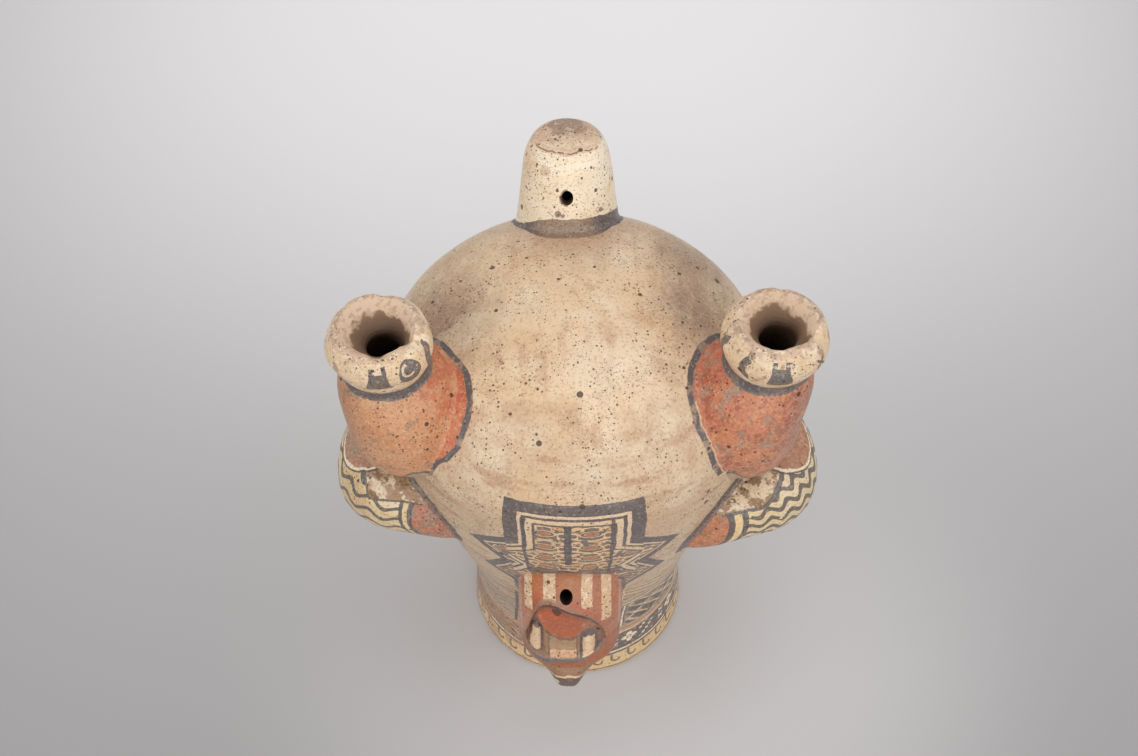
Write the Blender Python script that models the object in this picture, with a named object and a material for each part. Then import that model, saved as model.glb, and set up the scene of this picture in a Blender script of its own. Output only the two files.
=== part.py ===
"""Tripod pot: a jar in the shape of a big cat, in fired clay, stood on its rim with its feet in the air.

The round body, its neck, the two hollow front legs, the hollow tail that is the third leg,
the arms and the head are one fired piece, so they make one solid. Metres, +Z up. The head
faces -Y. The pot is modelled round the axis of its belly and then moved by CENTRING, which
puts the middle of its overall box over the origin, on the surface that the rim stands on.
"""
import bpy
import bmesh
from math import cos, sin, sqrt, pi, radians
from mathutils import Matrix, Vector

# The whole pot
HEIGHT = 0.338                 # from the rim to the soles of the three feet
CENTRING = Vector((-0.0017, 0.0014, 0.0))

# Body and neck, turned about the Z axis
RIM_RADIUS = 0.0715
WAIST_RADIUS, WAIST_Z = 0.0694, 0.040
BELLY_RADIUS, BELLY_Z = 0.114, 0.245
BOTTOM_Z = 0.308               # outside of the rounded bottom, which is uppermost here
NECK_SHIFT_X = 0.0018          # the neck sits a little to one side of the belly
WALL = 0.0063
LIP_ROUND = 0.0018             # rounding of the rim's two edges
BODY_STEPS = 54                # sides of the turned body
CAVITY_STEPS = 32

# Front legs: (left, right)
FOOT_X = (-0.1068, 0.1088)
FOOT_Y = -0.042
THIGH_X = (-0.0948, 0.0950)
THIGH_Y = -0.045
THIGH_RADIUS = (0.0355, 0.0345)
THIGH_LOW_Z = (0.2285, 0.2175)
THIGH_MID_Z = 0.262
PAW_RADIUS, PAW_Z = 0.0295, 0.3235
ANKLE_RADIUS, ANKLE_Z = 0.0243, 0.3075
SOLE_INNER, SOLE_OUTER = 0.0165, 0.0240     # the worn flat ring under each paw
THROAT_RADIUS, THROAT_Z = 0.0090, 0.325     # where the hollow paw narrows
LEG_WALL = 0.007
LEG_STEPS = 26

# Tail: a hollow blunt cone that leans backwards
TAIL_BASE = Vector((-0.0025, 0.0870, 0.2800))
TAIL_TIP = Vector((-0.0025, 0.1093, 0.3405))
TAIL_BASE_RADIUS = 0.0318
TAIL_WALL = 0.007
TAIL_STEPS = 24
VENT_RADIUS = 0.0037           # the small holes through the tail and the lower jaw
TAIL_VENT = Vector((-0.0030, 0.0705, 0.3170))

# Arms: fat lobes from the shoulder round to the thigh, on both sides
ARM_MIDDLE, ARM_SWEEP = radians(63), radians(26)   # angles round the body from its front

# Head, upside down: its throat is uppermost
HEAD_X = -0.0045
HEAD_HALF_WIDTH = 0.0310
MOUTH_X, MOUTH_Z = HEAD_X - 0.0020, 0.1345
MOUTH_HALF_WIDTH, MOUTH_HALF_HEIGHT = 0.0240, 0.0225
MOUTH_SLANT = radians(11)      # the lower lip runs down to the right
MOUTH_FLOOR_Y = -0.1070        # how deep the mouth is sunk
LIP_Y = -0.1225                # front of the upper lip
JAW_VENT = Vector((MOUTH_X, -0.1100, 0.1675))
NOSE_TIP = Vector((MOUTH_X, -0.1310, 0.0930))


def blend(a, b, t):
    """A smooth step from a to b as t goes from 0 to 1."""
    t = min(max(t, 0.0), 1.0)
    return a + (b - a) * t * t * (3 - 2 * t)


def through(keys, x):
    """The value at x of a smooth curve through the keys (x, value), which are in order."""
    xs = [k[0] for k in keys]
    i = max(1, min(len(keys) - 1, sum(1 for a in xs if a <= x)))
    before, after = keys[max(i - 2, 0)], keys[min(i + 1, len(keys) - 1)]
    (x0, y0), (x1, y1) = keys[i - 1], keys[i]
    span, t = x1 - x0, (x - x0) / (x1 - x0)
    slope0 = (y1 - before[1]) / (x1 - before[0])
    slope1 = (after[1] - y0) / (after[0] - x0)
    h = t * t * (3 - 2 * t)
    return (y0 + (y1 - y0) * h + span * (slope0 * t * (1 - t) ** 2 - slope1 * t * t * (1 - t)))


def new_object(name, mesh_builder):
    """An object from a filled bmesh, with its faces turned outwards."""
    bmesh.ops.remove_doubles(mesh_builder, verts=mesh_builder.verts, dist=1e-6)
    bmesh.ops.recalc_face_normals(mesh_builder, faces=mesh_builder.faces)
    mesh = bpy.data.meshes.new(name)
    mesh_builder.to_mesh(mesh)
    mesh_builder.free()
    obj = bpy.data.objects.new(name, mesh)
    bpy.context.collection.objects.link(obj)
    return obj


def turned(name, profile, steps):
    """A closed solid: the profile's (radius, z) points spun about the Z axis."""
    bm = bmesh.new()
    verts = [bm.verts.new((r, 0, z)) for r, z in profile]
    edges = [bm.edges.new(pair) for pair in zip(verts, verts[1:])]
    bmesh.ops.spin(bm, geom=verts + edges, cent=(0, 0, 0), axis=(0, 0, 1),
                   angle=2 * pi, steps=steps, use_merge=True)
    return new_object(name, bm)


def lofted(name, rings):
    """A closed solid: rings of points, joined one to the next and capped at both ends."""
    bm = bmesh.new()
    loops = [[bm.verts.new(p) for p in ring] for ring in rings]
    edges = [[bm.edges.new((loop[i - 1], loop[i])) for i in range(len(loop))] for loop in loops]
    for lower, upper in zip(edges, edges[1:]):
        bmesh.ops.bridge_loops(bm, edges=lower + upper)
    for loop in (loops[0], loops[-1]):
        bm.faces.new(loop)
    return new_object(name, bm)


def egg(name, centre, radii, turn=Matrix(), u=16, v=10):
    """An ellipsoid, turned before it is moved to its centre."""
    bm = bmesh.new()
    bmesh.ops.create_uvsphere(bm, u_segments=u, v_segments=v, radius=1)
    bmesh.ops.transform(bm, verts=bm.verts,
                        matrix=Matrix.Translation(centre) @ turn @ Matrix.Diagonal((*radii, 1)))
    return new_object(name, bm)


def peg(name, start, end, start_radius, end_radius, sides=12):
    """A tapered round peg between two points."""
    start, end = Vector(start), Vector(end)
    bm = bmesh.new()
    bmesh.ops.create_cone(bm, cap_ends=True, segments=sides, radius1=start_radius,
                          radius2=end_radius, depth=(end - start).length)
    turn = (end - start).to_track_quat('Z', 'Y').to_matrix().to_4x4()
    bmesh.ops.transform(bm, verts=bm.verts,
                        matrix=Matrix.Translation((start + end) / 2) @ turn)
    return new_object(name, bm)


def combine(target, tool, operation):
    """Join the tool to the target, or cut it away, and drop the tool."""
    boolean = target.modifiers.new(operation.lower(), 'BOOLEAN')
    boolean.operation, boolean.solver, boolean.object = operation, 'EXACT', tool
    evaluated = target.evaluated_get(bpy.context.evaluated_depsgraph_get())
    mesh = bpy.data.meshes.new_from_object(evaluated)
    target.modifiers.clear()
    target.data = mesh
    bpy.data.objects.remove(tool)


# ---------------------------------------------------------------- body

def body_radius(z):
    """Outer radius of the neck and belly below the rounded bottom."""
    if z < WAIST_Z:
        return WAIST_RADIUS + (RIM_RADIUS - WAIST_RADIUS) * (1 - z / WAIST_Z) ** 2
    return blend(WAIST_RADIUS, BELLY_RADIUS, (z - WAIST_Z) / (BELLY_Z - WAIST_Z))


def body_profile(inset, top, rows, dome_rows):
    """The body's outline, moved in by inset, from the rim up over the bottom at z = top."""
    side = [(body_radius(z) - inset, z) for z in (BELLY_Z * (i / rows) ** 0.9
                                                  for i in range(1, rows + 1))]
    belly = BELLY_RADIUS - inset
    angles = [pi / 2 * i / dome_rows for i in range(1, dome_rows)]
    dome = [(belly * cos(a), BELLY_Z + (top - BELLY_Z) * sin(a)) for a in angles]
    return side + dome + [(0, top)]


def lean_neck(obj):
    """Slide the neck sideways, less and less up to the belly."""
    for v in obj.data.vertices:
        v.co.x += blend(NECK_SHIFT_X, 0, v.co.z / BELLY_Z)
    return obj


def make_body():
    edge = [(0, 0), (RIM_RADIUS - LIP_ROUND, 0), (RIM_RADIUS - LIP_ROUND * 0.3, LIP_ROUND * 0.4),
            (RIM_RADIUS, LIP_ROUND * 1.5)]
    return lean_neck(turned('tripod_pot', edge + body_profile(0, BOTTOM_Z, 14, 9), BODY_STEPS))


def make_cavity():
    """The hollow of the pot: a little wider at the very edge, where the rim is rounded."""
    mouth = RIM_RADIUS - WALL
    below = -0.010
    edge = [(0, below), (mouth + LIP_ROUND, below), (mouth + LIP_ROUND, 0),
            (mouth + LIP_ROUND * 0.3, LIP_ROUND * 0.6)]
    return lean_neck(turned('cavity', edge + body_profile(WALL, BOTTOM_Z - WALL, 11, 6), CAVITY_STEPS))


# ---------------------------------------------------------------- front legs

def leg_profile(thigh, low):
    """Outer (radius, z) of a leg, from the rounded thigh up to the sole of the paw."""
    mid = THIGH_MID_Z
    base = [(thigh * sin(a) ** 0.85, mid - (mid - low) * cos(a))
            for a in (pi / 2 * i / 6 for i in range(7))]
    shank = [(thigh * 0.985, mid + 0.014), (thigh * 0.93, mid + 0.026), (thigh * 0.83, mid + 0.0355),
             (ANKLE_RADIUS, ANKLE_Z - 0.002), (ANKLE_RADIUS, ANKLE_Z + 0.002)]
    paw = [(PAW_RADIUS * 0.955, PAW_Z - 0.006), (PAW_RADIUS, PAW_Z), (PAW_RADIUS * 0.96, PAW_Z + 0.005),
           (SOLE_OUTER, HEIGHT)]
    return base + shank + paw + [(0, HEIGHT)]


def leg_hollow_profile(thigh, low):
    """The hollow of a leg: a chamber in the thigh, a narrow throat and a funnel in the paw."""
    inner = thigh - LEG_WALL
    low += LEG_WALL
    chamber = [(inner * sin(a), THIGH_MID_Z - (THIGH_MID_Z - low) * cos(a))
               for a in (pi / 2 * i / 4 for i in range(5))]
    return chamber + [(inner * 0.93, THIGH_MID_Z + 0.018), (inner * 0.62, THIGH_MID_Z + 0.034),
                      (THROAT_RADIUS * 1.2, THROAT_Z - 0.013), (THROAT_RADIUS, THROAT_Z - 0.002),
                      (THROAT_RADIUS * 1.15, THROAT_Z + 0.002), (SOLE_INNER * 0.86, HEIGHT - 0.006),
                      (SOLE_INNER, HEIGHT - 0.002), (SOLE_INNER + 0.002, HEIGHT),
                      (SOLE_INNER + 0.002, HEIGHT + 0.005), (0, HEIGHT + 0.005)]


def place_leg(obj, side):
    """Move a turned leg to its side, with the paw further out than the thigh."""
    for v in obj.data.vertices:
        lean = blend(THIGH_X[side], FOOT_X[side], (v.co.z - THIGH_MID_Z) / (PAW_Z - THIGH_MID_Z))
        v.co.x += lean
        v.co.y += blend(THIGH_Y, FOOT_Y, (v.co.z - THIGH_MID_Z) / (PAW_Z - THIGH_MID_Z))


def make_leg(side):
    sizes = THIGH_RADIUS[side], THIGH_LOW_Z[side]
    leg = turned('leg', leg_profile(*sizes), LEG_STEPS)
    hollow = turned('leg_hollow', leg_hollow_profile(*sizes), LEG_STEPS - 10)
    place_leg(leg, side)
    place_leg(hollow, side)
    combine(leg, hollow, 'DIFFERENCE')
    return leg


# ---------------------------------------------------------------- tail

def cone_profile(base_radius, length, start):
    """A blunt cone's (radius, z) outline, from its closed base at z = start to its tip."""
    keys = [(0.0, 1.0), (0.25, 0.93), (0.50, 0.87), (0.70, 0.81), (0.84, 0.70), (0.93, 0.53)]
    side = [(base_radius * k, length * t) for t, k in keys]
    root = [(0, start), (base_radius * 0.45, start * 0.92), (base_radius * 0.80, start * 0.55)]
    return root + side + [(base_radius * 0.31, length * 0.985), (0, length)]


def make_tail():
    along = TAIL_TIP - TAIL_BASE
    place = Matrix.Translation(TAIL_BASE) @ along.to_track_quat('Z', 'Y').to_matrix().to_4x4()
    tail = turned('tail', cone_profile(TAIL_BASE_RADIUS, along.length, -0.030), TAIL_STEPS)
    hollow = turned('tail_hollow', cone_profile(TAIL_BASE_RADIUS - TAIL_WALL,
                                                along.length - TAIL_WALL, -0.020), TAIL_STEPS - 10)
    for obj in (tail, hollow):
        obj.data.transform(place)
    combine(tail, hollow, 'DIFFERENCE')
    bm = bmesh.new()
    bmesh.ops.create_cube(bm, size=0.1, matrix=Matrix.Translation((0, TAIL_TIP.y, HEIGHT + 0.05)))
    combine(tail, new_object('worn_sole', bm), 'DIFFERENCE')
    return tail


# ---------------------------------------------------------------- arms

def make_arm(side):
    """A thick bent lobe that hugs the belly, from the shoulder in front to the hand by the thigh.

    Each ring is an upright ellipse on a line out from the body's axis; t runs from -1 to 1.
    """
    sign, shoulder_drop, drop, grow = ((-1, 0.0, 0.0, 0.0), (1, 0.012, 0.006, 0.0035))[side]
    reaches = [(-1, 0.087), (-0.42, 0.1065), (0, 0.1190), (0.4, 0.1240), (1, 0.1215)]
    heights = [(-1, 0.184), (-0.42, 0.196), (0, 0.194), (0.4, 0.192), (1, 0.207)]
    depths = [(-1, 0.0155), (0, 0.0250), (1, 0.0265)]
    tallness = [(-1, 0.018), (0, 0.0262), (1, 0.0370)]
    steps, sides = 13, 16
    rings = []
    for i in range(steps):
        t = -cos(pi * (i + 0.35) / (steps - 0.3))
        angle = ARM_MIDDLE + ARM_SWEEP * t
        reach = through(reaches, t) + grow
        height = through(heights, t) - blend(shoulder_drop, drop, (t + 1) / 1.2)
        rounding = sqrt(1 - abs(t) ** 2.6)
        depth, tall = through(depths, t) * rounding, through(tallness, t) * rounding
        ring = []
        for k in (2 * pi * j / sides for j in range(sides)):
            out = reach + depth * cos(k)
            ring.append(Vector((sign * out * sin(angle), -out * cos(angle), height + tall * sin(k))))
        rings.append(ring)
    return lofted('arm', rings)


# ---------------------------------------------------------------- head

def head_section(z, front, half_width, depth):
    """A level outline of the head: a half ellipse in front, with straight sides to the body."""
    back = max(0.015 - body_radius(z), front + depth + 0.002)
    arc = [Vector((HEAD_X + half_width * cos(a), front + depth - depth * sin(a), z))
           for a in (pi * k / 14 for k in range(15))]
    return [Vector((HEAD_X + half_width, back, z))] + arc + [Vector((HEAD_X - half_width, back, z))]


def make_head():
    fronts = [(0.046, -0.0700), (0.056, -0.0810), (0.072, -0.0940), (0.088, -0.1080),
              (0.099, -0.1180), (0.106, LIP_Y), (0.114, -0.1215), (0.135, -0.1190),
              (0.154, -0.1165), (0.164, -0.1125), (0.176, -0.1055), (0.184, -0.1000)]
    widths = [(0.046, 0.45), (0.060, 0.68), (0.080, 0.86), (0.106, 0.98), (0.135, 1.0),
              (0.158, 0.98), (0.166, 0.87), (0.171, 0.74), (0.176, 0.57), (0.180, 0.38),
              (0.184, 0.20)]
    levels = [0.046, 0.056, 0.068, 0.080, 0.092, 0.101, 0.107, 0.114, 0.136, 0.150, 0.158,
              0.165, 0.171, 0.176, 0.180, 0.184]
    head = lofted('head', [head_section(z, through(fronts, z), HEAD_HALF_WIDTH * through(widths, z),
                                        blend(0.024, 0.017, (z - 0.11) / 0.04)) for z in levels])
    mouth = peg('mouth', (0, MOUTH_FLOOR_Y, 0), (0, MOUTH_FLOOR_Y - 0.030, 0), 1, 1.08, sides=24)
    mouth.data.transform(Matrix.Translation((MOUTH_X, 0, MOUTH_Z))
                         @ Matrix.Rotation(MOUTH_SLANT, 4, 'Y')
                         @ Matrix.Diagonal((MOUTH_HALF_WIDTH, 1, MOUTH_HALF_HEIGHT, 1)))
    combine(head, mouth, 'DIFFERENCE')
    hollow = egg('head_hollow', (MOUTH_X, -0.0940, 0.1380), (0.0190, 0.0080, 0.0300), u=12, v=8)
    combine(head, hollow, 'DIFFERENCE')
    features = [
        egg('tongue', (MOUTH_X - 0.001, -0.1080, 0.1430), (0.0165, 0.0150, 0.0090),
            Matrix.Rotation(radians(28), 4, 'X'), u=14, v=8),
        peg('fang', (MOUTH_X - 0.0205, -0.1145, 0.112), (MOUTH_X - 0.0195, -0.1125, 0.137),
            0.0046, 0.0034, sides=10),
        peg('fang', (MOUTH_X + 0.0140, -0.1148, 0.1115), (MOUTH_X + 0.0135, -0.1130, 0.132),
            0.0050, 0.0036, sides=10),
        egg('teeth', (MOUTH_X - 0.001, -0.1080, 0.1190), (0.0150, 0.0075, 0.0070), u=12, v=8),
        egg('nose', NOSE_TIP + Vector((0, 0.0160, 0.0080)), (0.0138, 0.0165, 0.0115),
            Matrix.Rotation(radians(40), 4, 'X'), u=14, v=8)]
    for sign in (-1, 1):
        features.append(egg('eye', (HEAD_X + sign * 0.0135, -0.0985, 0.0820),
                            (0.0065, 0.0065, 0.0065), u=10, v=6))
        features.append(egg('ear', (HEAD_X + sign * 0.0265, -0.0760, 0.0780),
                            (0.0050, 0.0090, 0.0090), u=10, v=6))
    for feature in features:
        combine(head, feature, 'UNION')
    return head


# ---------------------------------------------------------------- assembly

def clay(name, colour, roughness):
    material = bpy.data.materials.new(name)
    material.use_nodes = True
    shader = material.node_tree.nodes['Principled BSDF']
    shader.inputs['Base Color'].default_value = (*colour, 1)
    shader.inputs['Roughness'].default_value = roughness
    shader.inputs['Metallic'].default_value = 0.0
    return material


for old in list(bpy.data.objects):
    bpy.data.objects.remove(old)

pot = make_body()
for limb in (make_leg(0), make_leg(1), make_tail(), make_arm(0), make_arm(1), make_head()):
    combine(pot, limb, 'UNION')
combine(pot, make_cavity(), 'DIFFERENCE')
combine(pot, peg('tail_vent', TAIL_VENT + Vector((0, -0.015, 0.005)),
                 TAIL_VENT + Vector((0, 0.020, -0.007)), VENT_RADIUS, VENT_RADIUS), 'DIFFERENCE')
combine(pot, peg('jaw_vent', JAW_VENT + Vector((0, -0.010, 0.006)),
                 JAW_VENT + Vector((0, 0.018, -0.011)), VENT_RADIUS, VENT_RADIUS), 'DIFFERENCE')
pot.data.transform(Matrix.Translation(CENTRING))
pot.data.shade_smooth()
pot.data.set_sharp_from_angle(angle=radians(35))
pot.data.materials.append(clay('slipped_clay', (0.62, 0.50, 0.36), 0.5))
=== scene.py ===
"""A painted clay jar in the shape of a crouching big cat, stood on its rim with its feet up.

The script follows the making of the jar: the round body, the two hollow front legs, the
hollow tail, the arms and the head are shaped, luted together wet, hollowed, and then
slipped, painted and burnished.
"""
import bpy
import bmesh
from functools import partialmethod
from math import atan2, cos, degrees, exp, hypot, pi, radians, sin, sqrt
from mathutils import Matrix, Vector, noise
from mathutils.kdtree import KDTree


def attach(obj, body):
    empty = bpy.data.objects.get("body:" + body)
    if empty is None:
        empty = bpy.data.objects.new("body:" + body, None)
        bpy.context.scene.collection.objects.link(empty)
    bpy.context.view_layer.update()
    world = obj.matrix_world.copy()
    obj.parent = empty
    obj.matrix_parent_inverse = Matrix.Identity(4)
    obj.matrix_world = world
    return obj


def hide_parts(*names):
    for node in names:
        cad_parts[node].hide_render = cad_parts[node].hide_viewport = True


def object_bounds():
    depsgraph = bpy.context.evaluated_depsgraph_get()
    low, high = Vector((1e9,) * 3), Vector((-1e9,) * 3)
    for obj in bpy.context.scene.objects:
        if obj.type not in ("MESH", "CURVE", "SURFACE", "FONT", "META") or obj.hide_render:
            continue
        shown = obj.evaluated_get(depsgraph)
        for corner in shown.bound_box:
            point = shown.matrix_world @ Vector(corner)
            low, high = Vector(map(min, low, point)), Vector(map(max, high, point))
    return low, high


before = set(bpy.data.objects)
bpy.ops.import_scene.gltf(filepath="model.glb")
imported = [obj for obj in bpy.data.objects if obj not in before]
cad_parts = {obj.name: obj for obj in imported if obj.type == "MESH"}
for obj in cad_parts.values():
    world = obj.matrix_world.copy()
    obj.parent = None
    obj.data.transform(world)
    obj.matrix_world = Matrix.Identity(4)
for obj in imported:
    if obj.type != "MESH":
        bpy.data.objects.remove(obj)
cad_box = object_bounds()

scene = bpy.context.scene
lens = bpy.data.cameras.new('studio camera')
lens.sensor_width, lens.lens = 36, 53.78
camera = bpy.data.objects.new('studio camera', lens)
camera.location = (-0.0097, -0.6246, 1.0387)
camera.rotation_euler = (radians(37.959), radians(0.283), radians(-0.803))
scene.collection.objects.link(camera)
scene.camera = camera
scene.view_settings.view_transform = 'Standard'


def shader_node(tree, kind, *inputs, **settings):
    """A shader node. Its inputs, in order, are linked to sockets, set to values or, at None, left."""
    node = tree.nodes.new('ShaderNode' + kind)
    for name, value in settings.items():
        setattr(node, name, value)
    for slot, value in zip(node.inputs, inputs):
        if isinstance(value, bpy.types.NodeSocket):
            tree.links.new(value, slot)
        elif value is not None:
            slot.default_value = value
    return node


def mixed(tree, share, under, over):
    """The colour that a share of one colour over another gives."""
    return shader_node(tree, 'Mix', share, *[None] * 5, under, over, data_type='RGBA').outputs[2]


paper = bpy.data.materials.new('grey paper')
paper.use_nodes = True
tree = paper.node_tree
sheen = tree.nodes['Principled BSDF']
sheen.inputs['Roughness'].default_value = 0.9
sheen.inputs['Specular IOR Level'].default_value = 0.1
place = shader_node(tree, 'TexCoord').outputs['Object']
# Painted light on the paper: a broad pool brightens it towards the back, and a paler pool of painted light
# lies round the jar's foot, where its shadow falls.
paper_with_painted_light = (0.35, 0.34, 0.345, 1)
for middle, near, far, pale in (((0, 0.75, 0), 0, 1.15, (0.92, 0.905, 0.915, 1)),
                                ((0.05, -0.04, 0), 0.04, 0.34, (0.61, 0.595, 0.6, 1))):
    reach = shader_node(tree, 'VectorMath', place, middle, operation='DISTANCE').outputs['Value']
    painted_light_pool = shader_node(tree, 'MapRange', reach, far, near, interpolation_type='SMOOTHERSTEP')
    paper_with_painted_light = mixed(tree, painted_light_pool.outputs['Result'], paper_with_painted_light, pale)
tree.links.new(paper_with_painted_light, sheen.inputs['Base Color'])

bm = bmesh.new()
bmesh.ops.create_grid(bm, x_segments=1, y_segments=1, size=3)
sweep_mesh = bpy.data.meshes.new('sweep')
bm.to_mesh(sweep_mesh)
bm.free()
sweep_mesh.materials.append(paper)
sweep = bpy.data.objects.new('sweep', sweep_mesh)
scene.collection.objects.link(sweep)

for name, place, aim, size, watts in (
        ('lamp over', (0.05, 0.3, 2.2), (0, 0, 0.2), 1.4, 6.5),
        ('lamp left', (-1.3, -0.8, 1.2), (0, 0, 0.2), 1, 5.5),
        ('lamp right', (1.3, -0.8, 1.2), (0, 0, 0.2), 1, 6.5),
        ('lamp front', (0.1, -1.5, 0.55), (0, -0.05, 0.1), 1, 6)):
    light = bpy.data.lights.new(name, 'AREA')
    light.shape, light.size, light.energy = 'SQUARE', size, watts
    lamp = bpy.data.objects.new(name, light)
    lamp.location = place
    lamp.rotation_euler = (Vector(aim) - Vector(place)).to_track_quat('-Z', 'Y').to_euler()
    scene.collection.objects.link(lamp)
sky = bpy.data.worlds.new('room')
sky.use_nodes = True
sky.node_tree.nodes['Background'].inputs['Color'].default_value = (1, 1, 1, 1)
sky.node_tree.nodes['Background'].inputs['Strength'].default_value = 0.64
scene.world = sky

# ------------ body and neck
# The body is a pear of coiled clay, scraped to a wall of 6 mm and closed at its rounded
# bottom, which is uppermost here. Its neck is the narrow end that the jar stands on.
AXIS = Vector((-0.0017, 0.0014, 0))  # the axis of the belly
HEIGHT = 0.338  # from the rim to the soles
RIM_RADIUS, WAIST_RADIUS, WAIST_Z = 0.0715, 0.0694, 0.04
BELLY_RADIUS, BELLY_Z, BOTTOM_Z = 0.114, 0.245, 0.308
NECK_SHIFT = 0.0018  # the neck sits a little to one side
WALL = 0.0063


def ease(a, b, t):
    """A smooth step from a to b as t goes from 0 to 1."""
    t = min(max(t, 0), 1)
    return a + (b - a) * t * t * (3 - 2 * t)


def curve(keys, x):
    """The value at x of a smooth curve through the keys (x, value), flat past its ends."""
    if x <= keys[0][0]:
        return keys[0][1]
    if x >= keys[-1][0]:
        return keys[-1][1]
    i = max(k for k in range(1, len(keys)) if keys[k - 1][0] <= x)
    before, after = keys[max(i - 2, 0)], keys[min(i + 1, len(keys) - 1)]
    (x0, y0), (x1, y1) = keys[i - 1], keys[i]
    span, t = x1 - x0, (x - x0) / (x1 - x0)
    slope0 = (y1 - before[1]) / (x1 - before[0])
    slope1 = (after[1] - y0) / (after[0] - x0)
    h = t * t * (3 - 2 * t)
    return y0 + (y1 - y0) * h + span * (slope0 * t * (1 - t) ** 2 - slope1 * t * t * (1 - t))


def lump(bm, name):
    """A clay solid from a bmesh: doubles merged, faces outwards, one slot named after it."""
    bmesh.ops.remove_doubles(bm, verts=bm.verts, dist=1e-6)
    bmesh.ops.recalc_face_normals(bm, faces=bm.faces)
    mesh = bpy.data.meshes.new(name)
    bm.to_mesh(mesh)
    bm.free()
    mesh.materials.append(bpy.data.materials.get(name) or bpy.data.materials.new(name))
    solid = bpy.data.objects.new(name, mesh)
    scene.collection.objects.link(solid)
    return solid


def turned(name, outline, steps):
    """A round lump: the outline's (radius, z) points spun once round the Z axis."""
    bm = bmesh.new()
    verts = [bm.verts.new((r, 0, z)) for r, z in outline]
    edges = [bm.edges.new(pair) for pair in zip(verts, verts[1:])]
    bmesh.ops.spin(bm, geom=verts + edges, cent=(0, 0, 0), axis=(0, 0, 1),
                   angle=2 * pi, steps=steps, use_merge=True)
    return lump(bm, name)


def body_radius(z):
    """Outer radius of the neck and belly below the rounded bottom."""
    if z < WAIST_Z:
        return WAIST_RADIUS + (RIM_RADIUS - WAIST_RADIUS) * (1 - z / WAIST_Z) ** 2
    return ease(WAIST_RADIUS, BELLY_RADIUS, (z - WAIST_Z) / (BELLY_Z - WAIST_Z))


def pear(inset, rows, dome_rows):
    """The body's outline moved in by inset, up over the rounded bottom."""
    side = [(body_radius(z) - inset, z) for z in (BELLY_Z * i / rows for i in range(1, rows + 1))]
    belly, top = BELLY_RADIUS - inset, BOTTOM_Z - inset
    dome = [(belly * cos(a), BELLY_Z + (top - BELLY_Z) * sin(a))
            for a in (pi / 2 * i / dome_rows for i in range(1, dome_rows))]
    return side + dome + [(0, top)]


def on_axis(solid):
    """Move a turned body on to its axis, with the neck slid a little sideways."""
    for v in solid.data.vertices:
        v.co.x += AXIS.x + ease(NECK_SHIFT, 0, v.co.z / BELLY_Z)
        v.co.y += AXIS.y
    return solid


rim = RIM_RADIUS
pot = on_axis(turned('body', [(0, 0), (rim - 0.003, 0), (rim - 0.0021, 0.0002),
                              (rim - 0.001, 0.0007), (rim - 0.0002, 0.0016)]
                     + pear(0, 84, 34), 210))

# ------------ front legs
# Each leg is a fat clay tube: a round thigh against the belly, a narrow ankle, and a
# paw rolled over as a thick lip round an open hollow. They are the jar's two front feet.
FOOT_X, FOOT_Y = (-0.1068, 0.1088), -0.042
THIGH_X, THIGH_Y = (-0.0948, 0.095), -0.045
THIGH_RADIUS, THIGH_LOW_Z, THIGH_MID_Z = (0.0355, 0.0345), (0.2285, 0.2175), 0.262
PAW_RADIUS, PAW_Z, ANKLE_RADIUS, ANKLE_Z = 0.0295, 0.3235, 0.0243, 0.3075
THROAT_Z = 0.325
LIMB_WALL = 0.007


def leg_outline(thigh, low):
    """Outer (radius, z) of a leg, from the rounded thigh up to the worn sole."""
    base = [(thigh * sin(a) ** 0.85, THIGH_MID_Z - (THIGH_MID_Z - low) * cos(a))
            for a in (pi / 2 * i / 16 for i in range(17))]
    keys = [(THIGH_MID_Z, thigh), (THIGH_MID_Z + 0.014, thigh * 0.985),
            (THIGH_MID_Z + 0.026, thigh * 0.93), (THIGH_MID_Z + 0.0355, thigh * 0.83),
            (ANKLE_Z - 0.002, ANKLE_RADIUS), (ANKLE_Z + 0.002, ANKLE_RADIUS),
            (PAW_Z - 0.006, PAW_RADIUS * 0.955), (PAW_Z, PAW_RADIUS),
            (PAW_Z + 0.005, PAW_RADIUS * 0.965), (PAW_Z + 0.01, PAW_RADIUS * 0.9),
            (HEIGHT - 0.0022, PAW_RADIUS * 0.845)]
    first, last, rows = THIGH_MID_Z, keys[-1][0], 44
    shank = [(curve(keys, z), z) for z in (first + (last - first) * i / rows
                                           for i in range(1, rows + 1))]
    sole = [(0.0241, HEIGHT - 0.0012), (0.0231, HEIGHT - 0.0004), (0.0219, HEIGHT), (0, HEIGHT)]
    return base + shank + sole


def leg_hollow_outline(thigh, low):
    """The hollow of a leg: a chamber in the thigh, a narrow throat, a funnel in the paw."""
    inner = thigh - LIMB_WALL
    low += LIMB_WALL
    chamber = [(inner * sin(a), THIGH_MID_Z - (THIGH_MID_Z - low) * cos(a))
               for a in (pi / 2 * i / 6 for i in range(7))]
    keys = [(THIGH_MID_Z, inner), (THIGH_MID_Z + 0.018, inner * 0.93),
            (THIGH_MID_Z + 0.034, inner * 0.62), (THROAT_Z - 0.013, 0.0118),
            (THROAT_Z - 0.003, 0.01), (THROAT_Z + 0.001, 0.0108), (HEIGHT - 0.0085, 0.0131),
            (HEIGHT - 0.0058, 0.0153), (HEIGHT - 0.0032, 0.0174), (HEIGHT - 0.0012, 0.0192),
            (HEIGHT - 0.0003, 0.0203), (HEIGHT, 0.0209)]
    funnel = [(curve(keys, z), z) for z in (THIGH_MID_Z + (HEIGHT - THIGH_MID_Z) * (i / 30) ** 0.8
                                            for i in range(1, 31))]
    return chamber + funnel + [(0.0212, HEIGHT + 0.003), (0, HEIGHT + 0.003)]


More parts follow.
